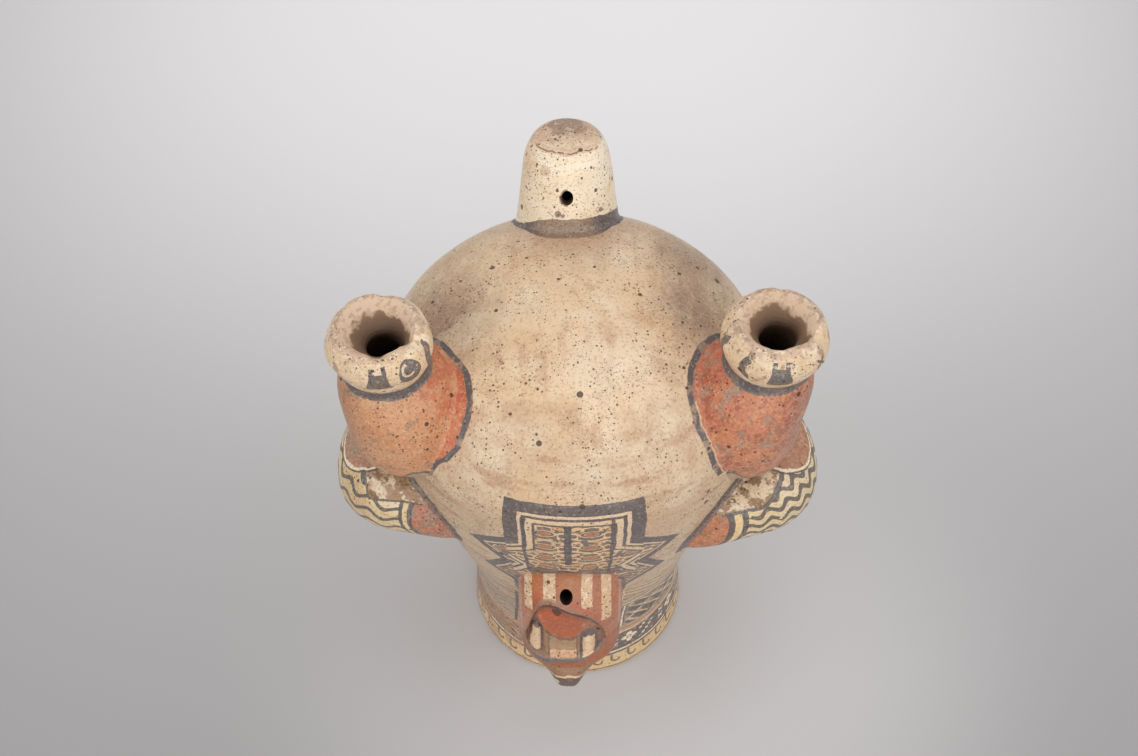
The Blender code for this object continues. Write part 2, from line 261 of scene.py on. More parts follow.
def set_leg(solid, side, throat_x=0, throat_y=0):
    """Lean a turned leg out to its side; the throat may sit off the middle of the paw."""
    for v in solid.data.vertices:
        t = (v.co.z - THIGH_MID_Z) / (PAW_Z - THIGH_MID_Z)
        narrow = exp(-((v.co.z - THROAT_Z + 0.001) / 0.007) ** 2)
        v.co.x += AXIS.x + ease(THIGH_X[side], FOOT_X[side], t) + throat_x * narrow
        v.co.y += AXIS.y + ease(THIGH_Y, FOOT_Y, t) + throat_y * narrow
    return solid


legs, leg_hollows = [], []
for side, throat in ((0, (0.0035, -0.0025)), (1, (0.001, -0.0015))):
    size = THIGH_RADIUS[side], THIGH_LOW_Z[side]
    legs.append(set_leg(turned(('left leg', 'right leg')[side], leg_outline(*size), 96), side))
    leg_hollows.append(set_leg(turned('inside', leg_hollow_outline(*size), 48), side, *throat))

# ------------ tail
# The tail is the third foot: a blunt hollow cone luted to the back of the bottom. Its
# tip is worn flat where the jar stood on it, with a crack just under the worn part.
TAIL_BASE, TAIL_TIP = Vector((-0.0025, 0.087, 0.28)), Vector((-0.0025, 0.1093, 0.3405))
TAIL_RADIUS = 0.0318
RUBBED = 0.003  # how far below the feet the rubbing of the tail's tip begins


def tail_outline(radius, length, start, rows):
    """A blunt cone's (radius, z), from its closed root inside the body to its tip."""
    keys = [(0, 1), (0.25, 0.93), (0.5, 0.87), (0.7, 0.81), (0.84, 0.7), (0.93, 0.53),
            (0.985, 0.31)]
    root = [(0, start), (radius * 0.45, start * 0.92), (radius * 0.8, start * 0.55),
            (radius * 0.97, start * 0.2), (radius, 0)]
    side = [(radius * curve(keys, t), length * t)
            for t in (1 - (1 - i / rows) ** 1.35 for i in range(1, rows)) if t < 0.975]
    return root + side + [(radius * 0.31, length * 0.985), (radius * 0.16, length * 0.997), (0, length)]


tail_line = TAIL_TIP - TAIL_BASE
tail_place = (Matrix.Translation(TAIL_BASE + AXIS)
              @ tail_line.to_track_quat('Z', 'Y').to_matrix().to_4x4())
tail = turned('tail', tail_outline(TAIL_RADIUS, tail_line.length, -0.03, 80), 96)
tail_hollow = turned('inside', tail_outline(TAIL_RADIUS - LIMB_WALL, tail_line.length - LIMB_WALL,
                                            -0.02, 18), 40)
for solid in (tail, tail_hollow):
    solid.data.transform(tail_place)
for v in tail.data.vertices:  # rub the tip down softly to the height of the feet
    over = v.co.z - (HEIGHT - RUBBED)
    if over > 0:
        v.co.z = HEIGHT - RUBBED + RUBBED * (1 - exp(-over / RUBBED))

# ------------ arms
# The arms are thick rolls of clay pressed round the belly, from the shoulder beside the
# head to the hand under each thigh. The right one sits a little lower.
ARM_MIDDLE, ARM_SWEEP = radians(63), radians(26)  # angles round the body from its front
# From the shoulder, -1, to the hand, 1: how far out, how high, how deep and how tall the roll is
ARM_REACH = [(-1, 0.087), (-0.42, 0.1065), (0, 0.119), (0.4, 0.124), (1, 0.1215)]
ARM_LEVEL = [(-1, 0.184), (-0.42, 0.196), (0, 0.194), (0.4, 0.192), (1, 0.207)]
ARM_DEPTH = [(-1, 0.0155), (0, 0.025), (1, 0.0265)]
ARM_TALL = [(-1, 0.018), (-0.7, 0.0188), (-0.45, 0.0196), (0, 0.0262), (1, 0.037)]
ARM_HALF_LENGTH = 53  # mm along the roll, from its middle to either end


def arm_middle(side, t):
    """How far out and how high the middle of the arm is at t, from the shoulder to the hand."""
    shoulder_drop, drop, grow = ((0, 0, 0), (0.012, 0.006, 0.0035))[side]
    return (curve(ARM_REACH, t) + grow,
            curve(ARM_LEVEL, t) - ease(shoulder_drop, drop, (t + 1) / 0.8))


arms = []
for side in (0, 1):
    sign = (-1, 1)[side]
    bm = bmesh.new()
    bmesh.ops.create_uvsphere(bm, u_segments=56, v_segments=60, radius=1)
    for v in bm.verts:
        t, k = max(-1, min(1, v.co.z)), atan2(v.co.y, v.co.x)
        reach, level = arm_middle(side, t)
        full = sqrt(max(0, 1 - abs(t) ** 2.6))
        out = reach + curve(ARM_DEPTH, t) * full * cos(k)
        angle = ARM_MIDDLE + ARM_SWEEP * t
        v.co = (sign * out * sin(angle) + AXIS.x, -out * cos(angle) + AXIS.y,
                level + curve(ARM_TALL, t) * full * sin(k))
    arms.append(lump(bm, ('left arm', 'right arm')[side]))

# ------------ head
# The head is a hollow box of clay with its throat uppermost. The mouth is cut in, and the
# tongue, the fangs, the row of teeth, the lips, the nose and the eyes are pressed on.
HEAD_X, HEAD_HALF_WIDTH = -0.0045, 0.031
HEAD_FRONT = [  # (z, y)
    (0.046, -0.07), (0.056, -0.081), (0.072, -0.094), (0.088, -0.108), (0.099, -0.118),
    (0.106, -0.1225), (0.114, -0.1215), (0.135, -0.119), (0.154, -0.1165), (0.164, -0.1125),
    (0.176, -0.1055), (0.184, -0.1)]
HEAD_WIDTH = [  # (z, share of the full width)
    (0.046, 0.45), (0.06, 0.68), (0.08, 0.86), (0.106, 0.98), (0.135, 1), (0.158, 0.98),
    (0.166, 0.87), (0.171, 0.74), (0.176, 0.57), (0.18, 0.38), (0.184, 0.2)]
HEAD_LOW, HEAD_HIGH = 0.046, 0.184
NOSE_X = HEAD_X - 0.002
MM = 1000  # millimetres in a metre
JAW_LIP = [  # (x, z) in mm, above the mouth because the head is upside down
    (-33, 118), (-30, 134), (-27, 149), (-24, 156), (-19, 159.8), (-13, 160.3), (-6, 157.4),
    (0, 155), (5, 152.2), (10, 148), (14, 140), (16.5, 129), (17.5, 116)]
TONGUE_EDGE = [  # (x, z) in mm
    (-30, 150), (-24, 146), (-21, 139), (-16, 133), (-8, 130.8), (-1, 132.3), (3, 137.5),
    (9, 139.5), (14, 137), (18, 134)]
NOSE_BRIDGE = [  # (z, height) in mm
    (54, 0), (60, 0.8), (66, 3), (72, 6.2), (76, 9.6), (80, 13.8), (84, 17.4), (88, 18.9), (91, 18),
    (94, 15.7), (98, 11.2), (101, 7.5), (103, 5), (106, 1.6), (111, 0.3)]
UPPER_LIP = [  # (x, z) in mm
    (-33, 116), (-29, 112.5), (-25, 110.5), (-15, 112.5), (-8, 114), (0, 114), (5, 114.6),
    (9, 116.5), (13, 120.5), (17, 127)]


def rise(d, soft):
    """0 where d is below 0, 1 where it is above soft, and smooth between."""
    return ease(0, 1, d / soft)


def capsule(x, z, x0, z0, x1, z1):
    """Distance of (x, z) from the line between two points, and how far along it that is."""
    along = ((x - x0) * (x1 - x0) + (z - z0) * (z1 - z0)) / ((x1 - x0) ** 2 + (z1 - z0) ** 2)
    t = min(max(along, 0), 1)
    return hypot(x - x0 - (x1 - x0) * t, z - z0 - (z1 - z0) * t), t


def face_relief(x, z):
    """How far the face stands out of the plain head at (x, z), all in mm."""
    arch, sill, edge = curve(JAW_LIP, x), curve(UPPER_LIP, x), curve(TONGUE_EDGE, x)
    inside = min(arch - z, z - sill, x + 32, 17 - x)
    floor = -3.8 * rise(inside, 2.4) * (1 - 0.5 * rise(x - 10, 4))
    # the lower jaw's lip is a low roll round the mouth
    roll = 1.3 * exp(-((inside + 2.2) / 2) ** 2) * rise(z - 116, 6)
    # the tongue fills the mouth from a deep groove under the lip down to its rolled front edge
    under = arch - z
    swell = -1.6 - 2.6 * exp(-((under - 1) / 1.1) ** 2) - 0.8 * exp(-((under - 6) / 3.4) ** 2)
    swell += 1.7 * exp(-((z - edge - 4.6) / 4.4) ** 2)
    tongue = swell - 5.5 * (1 - rise(z - edge + 0.4, 3.2))
    # the band of small front teeth, with grooves between them, on a swollen gum
    row = min(x + 21, 2.4 - x, z - sill + 1, edge + 1 - z)
    teeth = -5.4 + 3 * rise(row, 2.2) + 0.5 * cos((x + 17.5) * 2 * pi / 7) * rise(row, 2)
    teeth += 1.5 * exp(-((z - sill - 3) / 2.8) ** 2) * rise(row, 2)
    left, t = capsule(x, z, -26.2, 115.5, -24.6, 137)
    left_fang = -5.6 + 5.6 * sqrt(max(0, 1 - (left / (4.4 - 1.2 * t)) ** 2))
    right, t = capsule(x, z, 6.8, 120, 6.6, 128)
    right_fang = -5.6 + 5.8 * sqrt(max(0, 1 - (right / (4.9 - 0.5 * t)) ** 2))
    return max(floor, min(0, max(tongue, teeth, left_fang, right_fang))) + roll


def snout_relief(x, z):
    """The upper jaw below the mouth: the lip, the nose, the brows and the round eyes, in mm."""
    u = x - NOSE_X * MM
    lip = 1.2 * exp(-((z - curve(UPPER_LIP, x) + 2) / 2.4) ** 2)
    half = curve([(66, 6), (84, 10.4), (94, 12.8), (101, 14.8), (108, 17.5)], z)
    bridge = curve(NOSE_BRIDGE, z)
    nose = bridge * (1 - rise(abs(u) - half * 0.3, half * 1.2))
    nostril = -1.8 * exp(-((abs(u) - 4.2) / 1.7) ** 2 - ((z - 86) / 2) ** 2)
    side = abs(x - HEAD_X * MM)
    eye = hypot(side - 16, (z - 80) * 1.05)
    ball = 4.2 * sqrt(max(0, 1 - (eye / 6.4) ** 2))
    socket = 1.1 * exp(-((eye - 8.2) / 1.5) ** 2)
    brow = 1.6 * exp(-((z - 67 - 0.012 * side ** 2) / 3.2) ** 2)
    cheek = 1.8 * exp(-((side - 23) / 6) ** 2 - ((z - 99) / 8) ** 2)
    return lip + nose + nostril + ball + socket + brow + cheek


def shape_head():
    """A sheet of clay bent round the face and sides of the head, closed behind in the body."""
    bm = bmesh.new()
    bmesh.ops.create_grid(bm, x_segments=150, y_segments=196, size=1)
    for v in bm.verts:
        s, z = v.co.x, HEAD_LOW + (HEAD_HIGH - HEAD_LOW) * (v.co.y + 1) / 2
        half = HEAD_HALF_WIDTH * curve(HEAD_WIDTH, z)
        front, depth = curve(HEAD_FRONT, z), ease(0.024, 0.017, (z - 0.11) / 0.04)
        back = max(0.015 - body_radius(z), front + depth + 0.002)
        bend = 0.8  # the part of the sheet that makes the rounded front
        if abs(s) < bend:
            a = pi / 2 * (1 - s / bend)
            x, y = HEAD_X + half * cos(a), front + depth - depth * sin(a)
            relief = face_relief(x * MM, z * MM) if z > 0.104 else 0
            if z < 0.122:
                relief += snout_relief(x * MM, z * MM)
            fade = 1 - rise(abs(s) - 0.62, 0.16)
            y -= relief * fade / MM
        else:
            x = HEAD_X + (half if s > 0 else -half)
            y = front + depth + (back - front - depth) * (abs(s) - bend) / (1 - bend)
        ear = 3.2 * exp(-((y * MM + 75) / 6.5) ** 4 - ((z * MM - 79) / 7.5) ** 4)
        v.co = (x + (ear if s > 0 else -ear) / MM, y, z)
    rim_edges = [e for e in bm.edges if e.is_boundary]
    deep = bmesh.ops.extrude_edge_only(bm, edges=rim_edges)['geom']
    for v in (g for g in deep if isinstance(g, bmesh.types.BMVert)):
        v.co.y = min(-0.03, v.co.y + 0.03)
        v.co.x = HEAD_X + (v.co.x - HEAD_X) * 0.9
        v.co.z = 0.115 + (v.co.z - 0.115) * 0.9
    bmesh.ops.holes_fill(bm, edges=[e for e in bm.edges if e.is_boundary], sides=0)
    bmesh.ops.translate(bm, verts=bm.verts, vec=AXIS)
    return lump(bm, 'head')


head = shape_head()

# ------------ luting
# The limbs are pressed on to the wet body and the joins are smoothed over with a finger.
# Then the hollows, the pot's own and those of the legs and tail, are opened.


def join(tool, operation):
    """Join the tool to the pot, or cut it away, keeping each one's clay slot."""
    boolean = pot.modifiers.new(operation.lower(), 'BOOLEAN')
    boolean.operation, boolean.solver, boolean.object = operation, 'EXACT', tool
    boolean.material_mode = 'TRANSFER'
    mesh = bpy.data.meshes.new_from_object(pot.evaluated_get(bpy.context.evaluated_depsgraph_get()))
    pot.modifiers.clear()
    pot.data = mesh
    bpy.data.objects.remove(tool)


for limb in legs + [tail] + arms + [head]:
    join(limb, 'UNION')

bm = bmesh.new()
bm.from_mesh(pot.data)


def spots_along(edges, step=0.0004):
    """A search tree of points spread along the edges."""
    points = []
    for e in edges:
        a, b = e.verts[0].co, e.verts[1].co
        count = max(1, int((b - a).length / step))
        points += [a.lerp(b, i / count) for i in range(count + 1)]
    tree = KDTree(len(points))
    for i, p in enumerate(points):
        tree.insert(p, i)
    tree.balance()
    return tree


# the joins, where one lump of clay meets another
seams = [e for e in bm.edges if len(e.link_faces) == 2
         and e.link_faces[0].material_index != e.link_faces[1].material_index]
near_seam = spots_along(seams, 0.001)
band = [v for v in bm.verts if near_seam.find(v.co)[2] < 0.003]
bmesh.ops.remove_doubles(bm, verts=band, dist=0.00035)
bmesh.ops.dissolve_degenerate(bm, edges=bm.edges, dist=0.0001)
bmesh.ops.triangulate(bm, faces=[f for f in bm.faces if len(f.verts) > 4])
for reach, times in ((0.005, 6), (0.0034, 8), (0.002, 6)):
    band = [v for v in bm.verts if near_seam.find(v.co)[2] < reach]
    for _ in range(times):
        bmesh.ops.smooth_vert(bm, verts=band, factor=0.5, use_axis_x=True, use_axis_y=True,
                              use_axis_z=True)
bm.to_mesh(pot.data)
bm.free()

cavity_rim = [(0, -0.01), (rim - WALL + 0.0024, -0.01), (rim - WALL + 0.0024, 0),
              (rim - WALL + 0.001, 0.0006), (rim - WALL + 0.0003, 0.0016)]
join(on_axis(turned('inside', cavity_rim + pear(WALL, 44, 16), 96)), 'DIFFERENCE')
for hollow in leg_hollows + [tail_hollow]:
    join(hollow, 'DIFFERENCE')


def vent(start, end, radius, squash):
    """A small oval hole, pushed through the wet clay with a stick."""
    start, end = Vector(start) + AXIS, Vector(end) + AXIS
    bm = bmesh.new()
    bmesh.ops.create_cone(bm, cap_ends=True, segments=28, radius1=radius, radius2=radius * 0.9,
                          depth=(end - start).length)
    bmesh.ops.transform(bm, verts=bm.verts, matrix=Matrix.Translation((start + end) / 2)
                        @ (end - start).to_track_quat('Z', 'Y').to_matrix().to_4x4()
                        @ Matrix.Diagonal((1, squash, 1, 1)))
    join(lump(bm, 'inside'), 'DIFFERENCE')


vent((-0.003, 0.0555, 0.322), (-0.003, 0.0905, 0.31), 0.0037, 1.25)
vent((NOSE_X, -0.12, 0.1735), (NOSE_X, -0.087, 0.153), 0.004, 1.42)

# ------------ handling and marking out
# The leather-hard jar keeps the dents of the hands that scraped and turned it. Then the
# painter marks it out: how far each point is from the joins, and where it is on its limb.

noise.seed_set(4)  # without a seed noise_vector is different at each start
CRACK_LEVEL, CRACK_HALF, CRACK_DEPTH = 0.0565, 0.0006, 0.0005
tail_front = tail_line.cross(Vector((-1, 0, 0))).normalized()


def above_crack(co):
    """How far up the tail a point is past the wandering crack in its front."""
    p = co - AXIS - TAIL_BASE
    turn = atan2(p.x, p.dot(tail_front))
    if p.z < 0.02 or abs(turn + 0.05) > 1.15:
        return 0.099
    slow, quick = noise.noise(Vector((turn * 1.6, 4, 0))), noise.noise(Vector((turn * 7, 9, 0)))
    wander = slow * 0.0022 + quick * 0.0008
    return p.dot(tail_line.normalized()) - CRACK_LEVEL - wander + 0.0028 * cos(turn * 1.3)


def handled(mesh):
    """Low dents all over, lumpy lips on the paws with dips in their soles, and the tail's crack."""
    low, high = cad_box
    for v in mesh.vertices:
        firm = rise(v.co.z * MM - 1, 8) * rise((HEIGHT - v.co.z) * MM - 0.5, 6)
        on_paw = rise(v.co.z * MM - 312, 8) * (1 if v.co.y < 0.05 else 0)
        broad = noise.noise_vector(v.co * 24)
        small = noise.noise_vector(v.co * 90 + Vector((7, 3, 5)))
        knead = noise.noise_vector(v.co * 46 + Vector((2, 8, 1)))
        v.co += (broad * 0.00055 + small * 0.00014 + knead * 0.0013 * on_paw) * firm
        dip = noise.noise(Vector((v.co.x * 70, v.co.y * 70, 3))) - 0.08
        v.co.z -= max(0, dip) * 0.0085 * on_paw * rise(v.co.z * MM - 326, 9)
        crack = abs(above_crack(v.co)) / CRACK_HALF
        if crack < 1:
            v.co -= tail_front * CRACK_DEPTH * (1 - crack)
        for axis in range(3):
            v.co[axis] = min(max(v.co[axis], low[axis]), high[axis])


handled(pot.data)
mesh = pot.data
slots = [material.name for material in mesh.materials]
bm = bmesh.new()
bm.from_mesh(mesh)


def note(name, values):
    """Note a number at every point of the mesh."""
    mesh.attributes.new(name, 'FLOAT', 'POINT').data.foreach_set('value', values)


joins = {'leg': [], 'tail': [], 'arm': [], 'head': [], 'hole': []}
for e in bm.edges:
    pair = {slots[f.material_index] for f in e.link_faces}
    if len(pair) == 2:
        for kind in joins:
            if kind == 'hole' and 'inside' in pair or 'inside' not in pair and any(
                    kind in name for name in pair):
                joins[kind].append(e)
for kind, edges in joins.items():
    tree = spots_along(edges)
    note(kind + '_line', [tree.find(v.co)[2] * MM for v in mesh.vertices])
bm.free()
note('crack', [above_crack(v.co) * MM for v in mesh.vertices])


def limb_place(name, co):
    """Where a point is on its limb: (x, y, z) from the limb's own middle, in mm or degrees."""
    p = co - AXIS
    side = name.startswith('right')
    if name.endswith('leg'):
        lean = (p.z - THIGH_MID_Z) / (PAW_Z - THIGH_MID_Z)
        return ((p.x - ease(THIGH_X[side], FOOT_X[side], lean)) * MM,
                (p.y - ease(THIGH_Y, FOOT_Y, lean)) * MM, p.z * MM)
    if name.endswith('arm'):
        t = (atan2(abs(p.x), -p.y) - ARM_MIDDLE) / ARM_SWEEP
        reach, level = arm_middle(side, t)
        rise_up, rise_out = p.z - level, hypot(p.x, p.y) - reach
        around = atan2(rise_up / curve(ARM_TALL, t), rise_out / curve(ARM_DEPTH, t))
        return t * ARM_HALF_LENGTH, degrees(around), p.z * MM
    if name == 'tail':
        p -= TAIL_BASE
        return p.x * MM, p.dot(tail_front) * MM, p.dot(tail_line.normalized()) * MM
    return p * MM


for name, keys, sign in (('jaw', JAW_LIP, -1), ('sill', UPPER_LIP, 1), ('tongue', TONGUE_EDGE, 1)):
    gaps = [sign * ((v.co.z - AXIS.z) * MM - curve(keys, (v.co.x - AXIS.x) * MM))
            if v.co.y < -0.07 and abs(v.co.x) < 0.045 else 99 for v in mesh.vertices]
    note(name, gaps)
neck_slot = len(slots)
slots.append('neck')
mesh.materials.append(bpy.data.materials.new('neck'))
for face in mesh.polygons:
    if slots[face.material_index] == 'body' and face.center.z < 0.13:
        face.material_index = neck_slot
places = mesh.attributes.new('place', 'FLOAT_VECTOR', 'CORNER').data
for face in mesh.polygons:
    name = slots[face.material_index]
    for corner in face.loop_indices:
        places[corner].vector = limb_place(name, mesh.vertices[mesh.loops[corner].vertex_index].co)

# ------------ slip
# Fine clay slips are the paint: a cream one covers the jar, and red, orange and black ones
# go over it. All are rubbed with a pebble before the firing, which leaves a low sheen.


class Mark:
    """A number worked out at each point of the clay, such as a distance or a painted area."""

    def __init__(self, coat, socket):
        self.coat, self.socket = coat, socket

    def math(self, operation, *others):
        """What an operation of the shader makes of this number and others."""
        values = [getattr(value, 'socket', value) for value in (self, *others)]
        node = shader_node(self.coat.tree, 'Math', *values, operation=operation)
        return Mark(self.coat, node.outputs[0])

    __add__ = partialmethod(math, 'ADD')
    __sub__ = partialmethod(math, 'SUBTRACT')
    __mul__ = __and__ = partialmethod(math, 'MULTIPLY')
    __or__ = partialmethod(math, 'MAXIMUM')
    __lt__ = partialmethod(math, 'LESS_THAN')
    __gt__ = partialmethod(math, 'GREATER_THAN')
    __abs__ = partialmethod(math, 'ABSOLUTE')
    __invert__ = partialmethod(math, 'MULTIPLY_ADD', -1, 1)

    def near(self, value, half):
        """1 where the number is within half of the value."""
        return self.math('COMPARE', value, half)

    def every(self, pitch, middle=0):
        """The number counted afresh from each middle, one every pitch."""
        return (self - middle).math('WRAP', pitch / 2, -pitch / 2)

    def wave(self, length, height):
        """A wavy number of that height, along this one."""
        return self.math('MULTIPLY_ADD', 2 * pi / length, 0).math('SINE') * height

    def fade(self, low, high):
        """0 at low and 1 at high, with a smooth change between."""
        node = shader_node(self.coat.tree, 'MapRange', self.socket, low, high,
                           interpolation_type='SMOOTHSTEP')
        return Mark(self.coat, node.outputs['Result'])

    def out(self, other):
        """The distance out from a middle, from two numbers at right angles."""
        return (self * self + other * other).math('SQRT')

    def bearing(self, front):
        """The angle round from the front, in degrees, of a number out to the side of it."""
        return self.math('ARCTAN2', front) * (180 / pi)


class Coat:
    """All the slips on one lump of the jar. Each one laid goes over those before it."""

    def __init__(self, name):
        material = mesh.materials[slots.index(name)]
        material.use_nodes = True
        self.tree, self.colour = material.node_tree, None
        where = shader_node(self.tree, 'TexCoord').outputs['Object']
        self.point = shader_node(self.tree, 'VectorMath', where, (MM, MM, MM), -AXIS * MM,
                                 operation='MULTIPLY_ADD').outputs[0]

    def split(self, vector):
        """The three numbers of a vector."""
        node = shader_node(self.tree, 'SeparateXYZ', vector)
        return [Mark(self, socket) for socket in node.outputs]

    def read(self, name):
        """A number noted on the mesh."""
        return Mark(self, shader_node(self.tree, 'Attribute', attribute_name=name).outputs['Fac'])

    def on_limb(self):
        """The three numbers that say where a point is on its limb."""
        return self.split(shader_node(self.tree, 'Attribute', attribute_name='place').outputs['Vector'])

    def texture(self, kind, size, detail, stretch=None):
        """A noise texture on the lump, with cells of that many mm, pulled out of round or not."""
        place = self.point
        if stretch:
            place = shader_node(self.tree, 'VectorMath', place, stretch, operation='MULTIPLY').outputs[0]
        return shader_node(self.tree, kind, place, None, 1 / size, detail).outputs

    def cloud(self, size, detail=2, stretch=None):
        """Soft patches about that many mm across, from 0 to 1."""
        return Mark(self, self.texture('TexNoise', size, detail, stretch)['Fac'])

    def specks(self, cell, least, most, share):
        """Round specks, at most one in each cell of that many mm, in a share of the cells."""
        cells = self.texture('TexVoronoi', cell, None)
        chance, size, _ = self.split(cells['Color'])
        radius = size.math('MULTIPLY_ADD', (most - least) / cell, least / cell)
        return (chance < share) & (Mark(self, cells['Distance']) < radius)

    def lay(self, colour, where=None, strength=1):
        """Lay a slip, its colour a hex code, all over or where the mark is 1."""
        levels = [level / 255 for level in bytes.fromhex(colour)]
        colour = tuple(((level + 0.055) / 1.055) ** 2.4 for level in levels) + (1,)
        if where is None:
            self.colour = colour
            return
        if strength != 1:
            where = where * strength
        self.colour = mixed(self.tree, where.socket, self.colour, colour)

    def burnish(self, gloss, height, depth=0.00022):
        """Finish the coat: its gloss, a little uneven, and its pits and grain."""
        shader = self.tree.nodes['Principled BSDF']
        bump = shader_node(self.tree, 'Bump')
        bump.inputs['Strength'].default_value = 1
        bump.inputs['Distance'].default_value = depth
        shader.inputs['Specular IOR Level'].default_value = 0.36
        patchy = self.cloud(14, 3) * 0.22 + (gloss - 0.15)
        for source, node, slot in (
                (self.colour, shader, 'Base Color'), (patchy.socket, shader, 'Roughness'),
                (height.socket, bump, 'Height'), (bump.outputs['Normal'], shader, 'Normal')):
            self.tree.links.new(source, node.inputs[slot])


# The slips, each as the hex code of its fired colour
CREAM, PALE, WARM = 'e2c4a0', 'eedabe', 'd6a87e'
TAN, DIRT = 'a4866f', '765c4a'
BLACK, GREY = '5c5658', '7e706a'
ORANGE, BRIGHT = 'ce946c', 'c26242'
FLECK = '46352e'


def ground(coat, first, deep, pale):
    """A slip with the clouds and streaks of its brushing."""
    coat.lay(first)
    clouds = coat.cloud(46, 4)
    coat.lay(deep, clouds.fade(0.5, 0.7), 0.7)
    coat.lay(pale, clouds.fade(0.47, 0.3), 0.6)
    streaks = coat.cloud(11, 5, (0.45, 0.45, 1.7))
    coat.lay(deep, streaks.fade(0.52, 0.72), 0.55)
    coat.lay(pale, streaks.fade(0.46, 0.3), 0.5)


def grit(coat, share, gloss=0.42, haze=0.22):
    """The dark grit that shows in every slip, and the burnished surface round it."""
    mottle = coat.cloud(1.7, 3)
    coat.lay(DIRT, mottle.fade(0.52, 0.74), 0.42)
    coat.lay(PALE, mottle.fade(0.48, 0.3), haze)
    here = (coat.cloud(30, 4).fade(0.38, 0.66) * 0.95 + 0.12) * share
    dust = coat.specks(1.2, 0.16, 0.4, here * 1.6)
    fine = coat.specks(2.4, 0.28, 0.68, here * 1.2)
    round_grit = coat.specks(5.5, 0.55, 1.05, here * 0.5)
    large = coat.specks(12, 0.8, 1.9, share * 0.55)
    coat.lay(FLECK, dust, 0.55)
    coat.lay(FLECK, fine | round_grit, 0.85)
    coat.lay(FLECK, large, 0.88)
    grain = coat.cloud(1.3, 2) * 0.4 + coat.cloud(5.5, 2) * 0.9
    coat.burnish(gloss, grain - large * 0.6)


# ------------ painted belly
# The belly is left plain but for stains of the firing, black outlines round the limbs and
# one black-edged panel over the face, shaped like a stepped shield, with rows of creatures.
belly = Coat('body')
lay = belly.lay
ground(belly, CREAM, WARM, PALE)
east, north, up = belly.split(belly.point)
drift = belly.cloud(30, 2)
smoke = belly.cloud(15, 5, (1.5, 0.5, 0.8))
blotch = belly.cloud(8, 4)
facing = north < 0
lay('cc9870', (east + drift * 50).fade(-22, -84) & (up + drift * 40).fade(288, 262), 0.75)
lay('c49676', blotch.fade(0.56, 0.66) & drift.fade(0.4, 0.6), 0.5)
streaks = belly.cloud(12, 5, (0.4, 0.4, 1.8))
lay('c4ae92', (up + drift * 30).fade(314, 296), 0.55)
lay('b08466', streaks.fade(0.55, 0.66) & (up + drift * 30).fade(312, 296) & facing, 0.6)
lay(PALE, streaks.fade(0.46, 0.36) & up.fade(272, 284) & up.fade(302, 290), 0.35)
lay('be987a', smoke.fade(0.5, 0.66) & belly.cloud(44, 2).fade(0.42, 0.58), 0.6)
for x, y, z, size, colour, strength in (
        (-76, 2, 291, 50, TAN, 0.95), (71, 44, 287, 44, TAN, 0.95), (70, 2, 294, 38, TAN, 0.95),
        (0, 66, 300, 54, 'b29078', 0.85), (-20, -112, 246, 44, WARM, 0.6),
        (20, -46, 300, 52, PALE, 0.45), (40, -100, 232, 36, 'c49e7c', 0.6)):
    gap = ((east - x).out(north - y)).out(up - z)
    lay(colour, (gap + smoke * 56 - 28).fade(size, size * 0.1), strength)
worn = belly.cloud(26, 6, (1, 1, 1.4))
lay('c09876', worn.fade(0.54, 0.7) & facing & (up > 236), 0.55)
lay('e2ceb0', worn.fade(0.46, 0.34) & facing & (up > 246), 0.5)
BELLY_ARC = 1.6  # mm to a degree round the belly
around = east.bearing(north * -1)
shake = belly.cloud(7, 2)
across = around * BELLY_ARC + shake * 1.6 + 0.7
level = up + shake * 1.2 - 0.6
wide = abs(across)
block = (wide - 33) | (level - 262.5) | (level * -1 + 170)


def wing(tip_out, tip_up, above, below):
    """How far a point is outside a pointed wing of the panel, from its tip and two slopes."""
    (a, b), (c, d) = above, below
    past, over = wide - tip_out, level - tip_up
    return (past * a + over * b) | (past * c - over * d)


panel = block.math('MINIMUM', wing(54, 208, (0.645, 0.766), (0.775, 0.632)))
panel = panel.math('MINIMUM', wing(54, 162, (0.867, 0.498), (0.693, 0.721)))
in_panel = (panel < 0) & facing
deep = panel * -1
lay(BLACK, in_panel, 0.93)
lay(GREY, in_panel & belly.cloud(10, 4).fade(0.5, 0.66), 0.5)
upper = block < 0
lay(CREAM, in_panel & upper & deep.near(7.9, 0.95))
lay(CREAM, in_panel & upper & deep.near(12.2, 1.5))
lay(CREAM, in_panel & ~upper & deep.near(6.4, 0.7))
field = in_panel & ((upper & (deep > 15)) | (~upper & (deep > 8.3)))
lay(GREY, field)
# rows of creatures: a round body with two eyes, a red cap, and a curled hook on each side
column = abs(across + 3)
inner = column < 20.5
near_column = (inner & (column - 10.6)) + (~inner & (column - 31).every(16))
row = level.every(15.2, 240)
body = (near_column * 0.72).out(row * 1.25)
side = abs(near_column)
for shape in (body < 4.2, (side - 6.2).out(row - 4.4).near(2.2, 0.85) & (row > 3),
              (side - 8.2).out(row + 1.8).near(2.9, 0.9) & (side > 5.6), (row + side * 0.35).near(7.6, 0.8),
              (row - side * 0.3).near(-7.4, 0.9)):
    lay('e6c092', field & shape & (blotch > 0.38))
lay(BLACK, field & body.near(2.9, 0.5), 0.9)
lay('b86e48', field & (body < 2.2), 0.9)
lay('c88c60', field & shake.fade(0.5, 0.58) & (row > 4), 0.5)
lay(BLACK, in_panel & (column < 1.7) & level.near(224, 24), 0.93)
lay(BLACK, in_panel & column.near(20.6, 0.9) & (level > 180) & (level < 252), 0.9)
lower = in_panel & ~upper & (level < 190) & (deep > 8.3)
lay(GREY, lower & (level + wide * 0.8).every(5.2).near(0, 1.3), 0.9)
lay(BLACK, in_panel & (level + shake * 8).near(188, 5.5) & (wide < 24), 0.8)
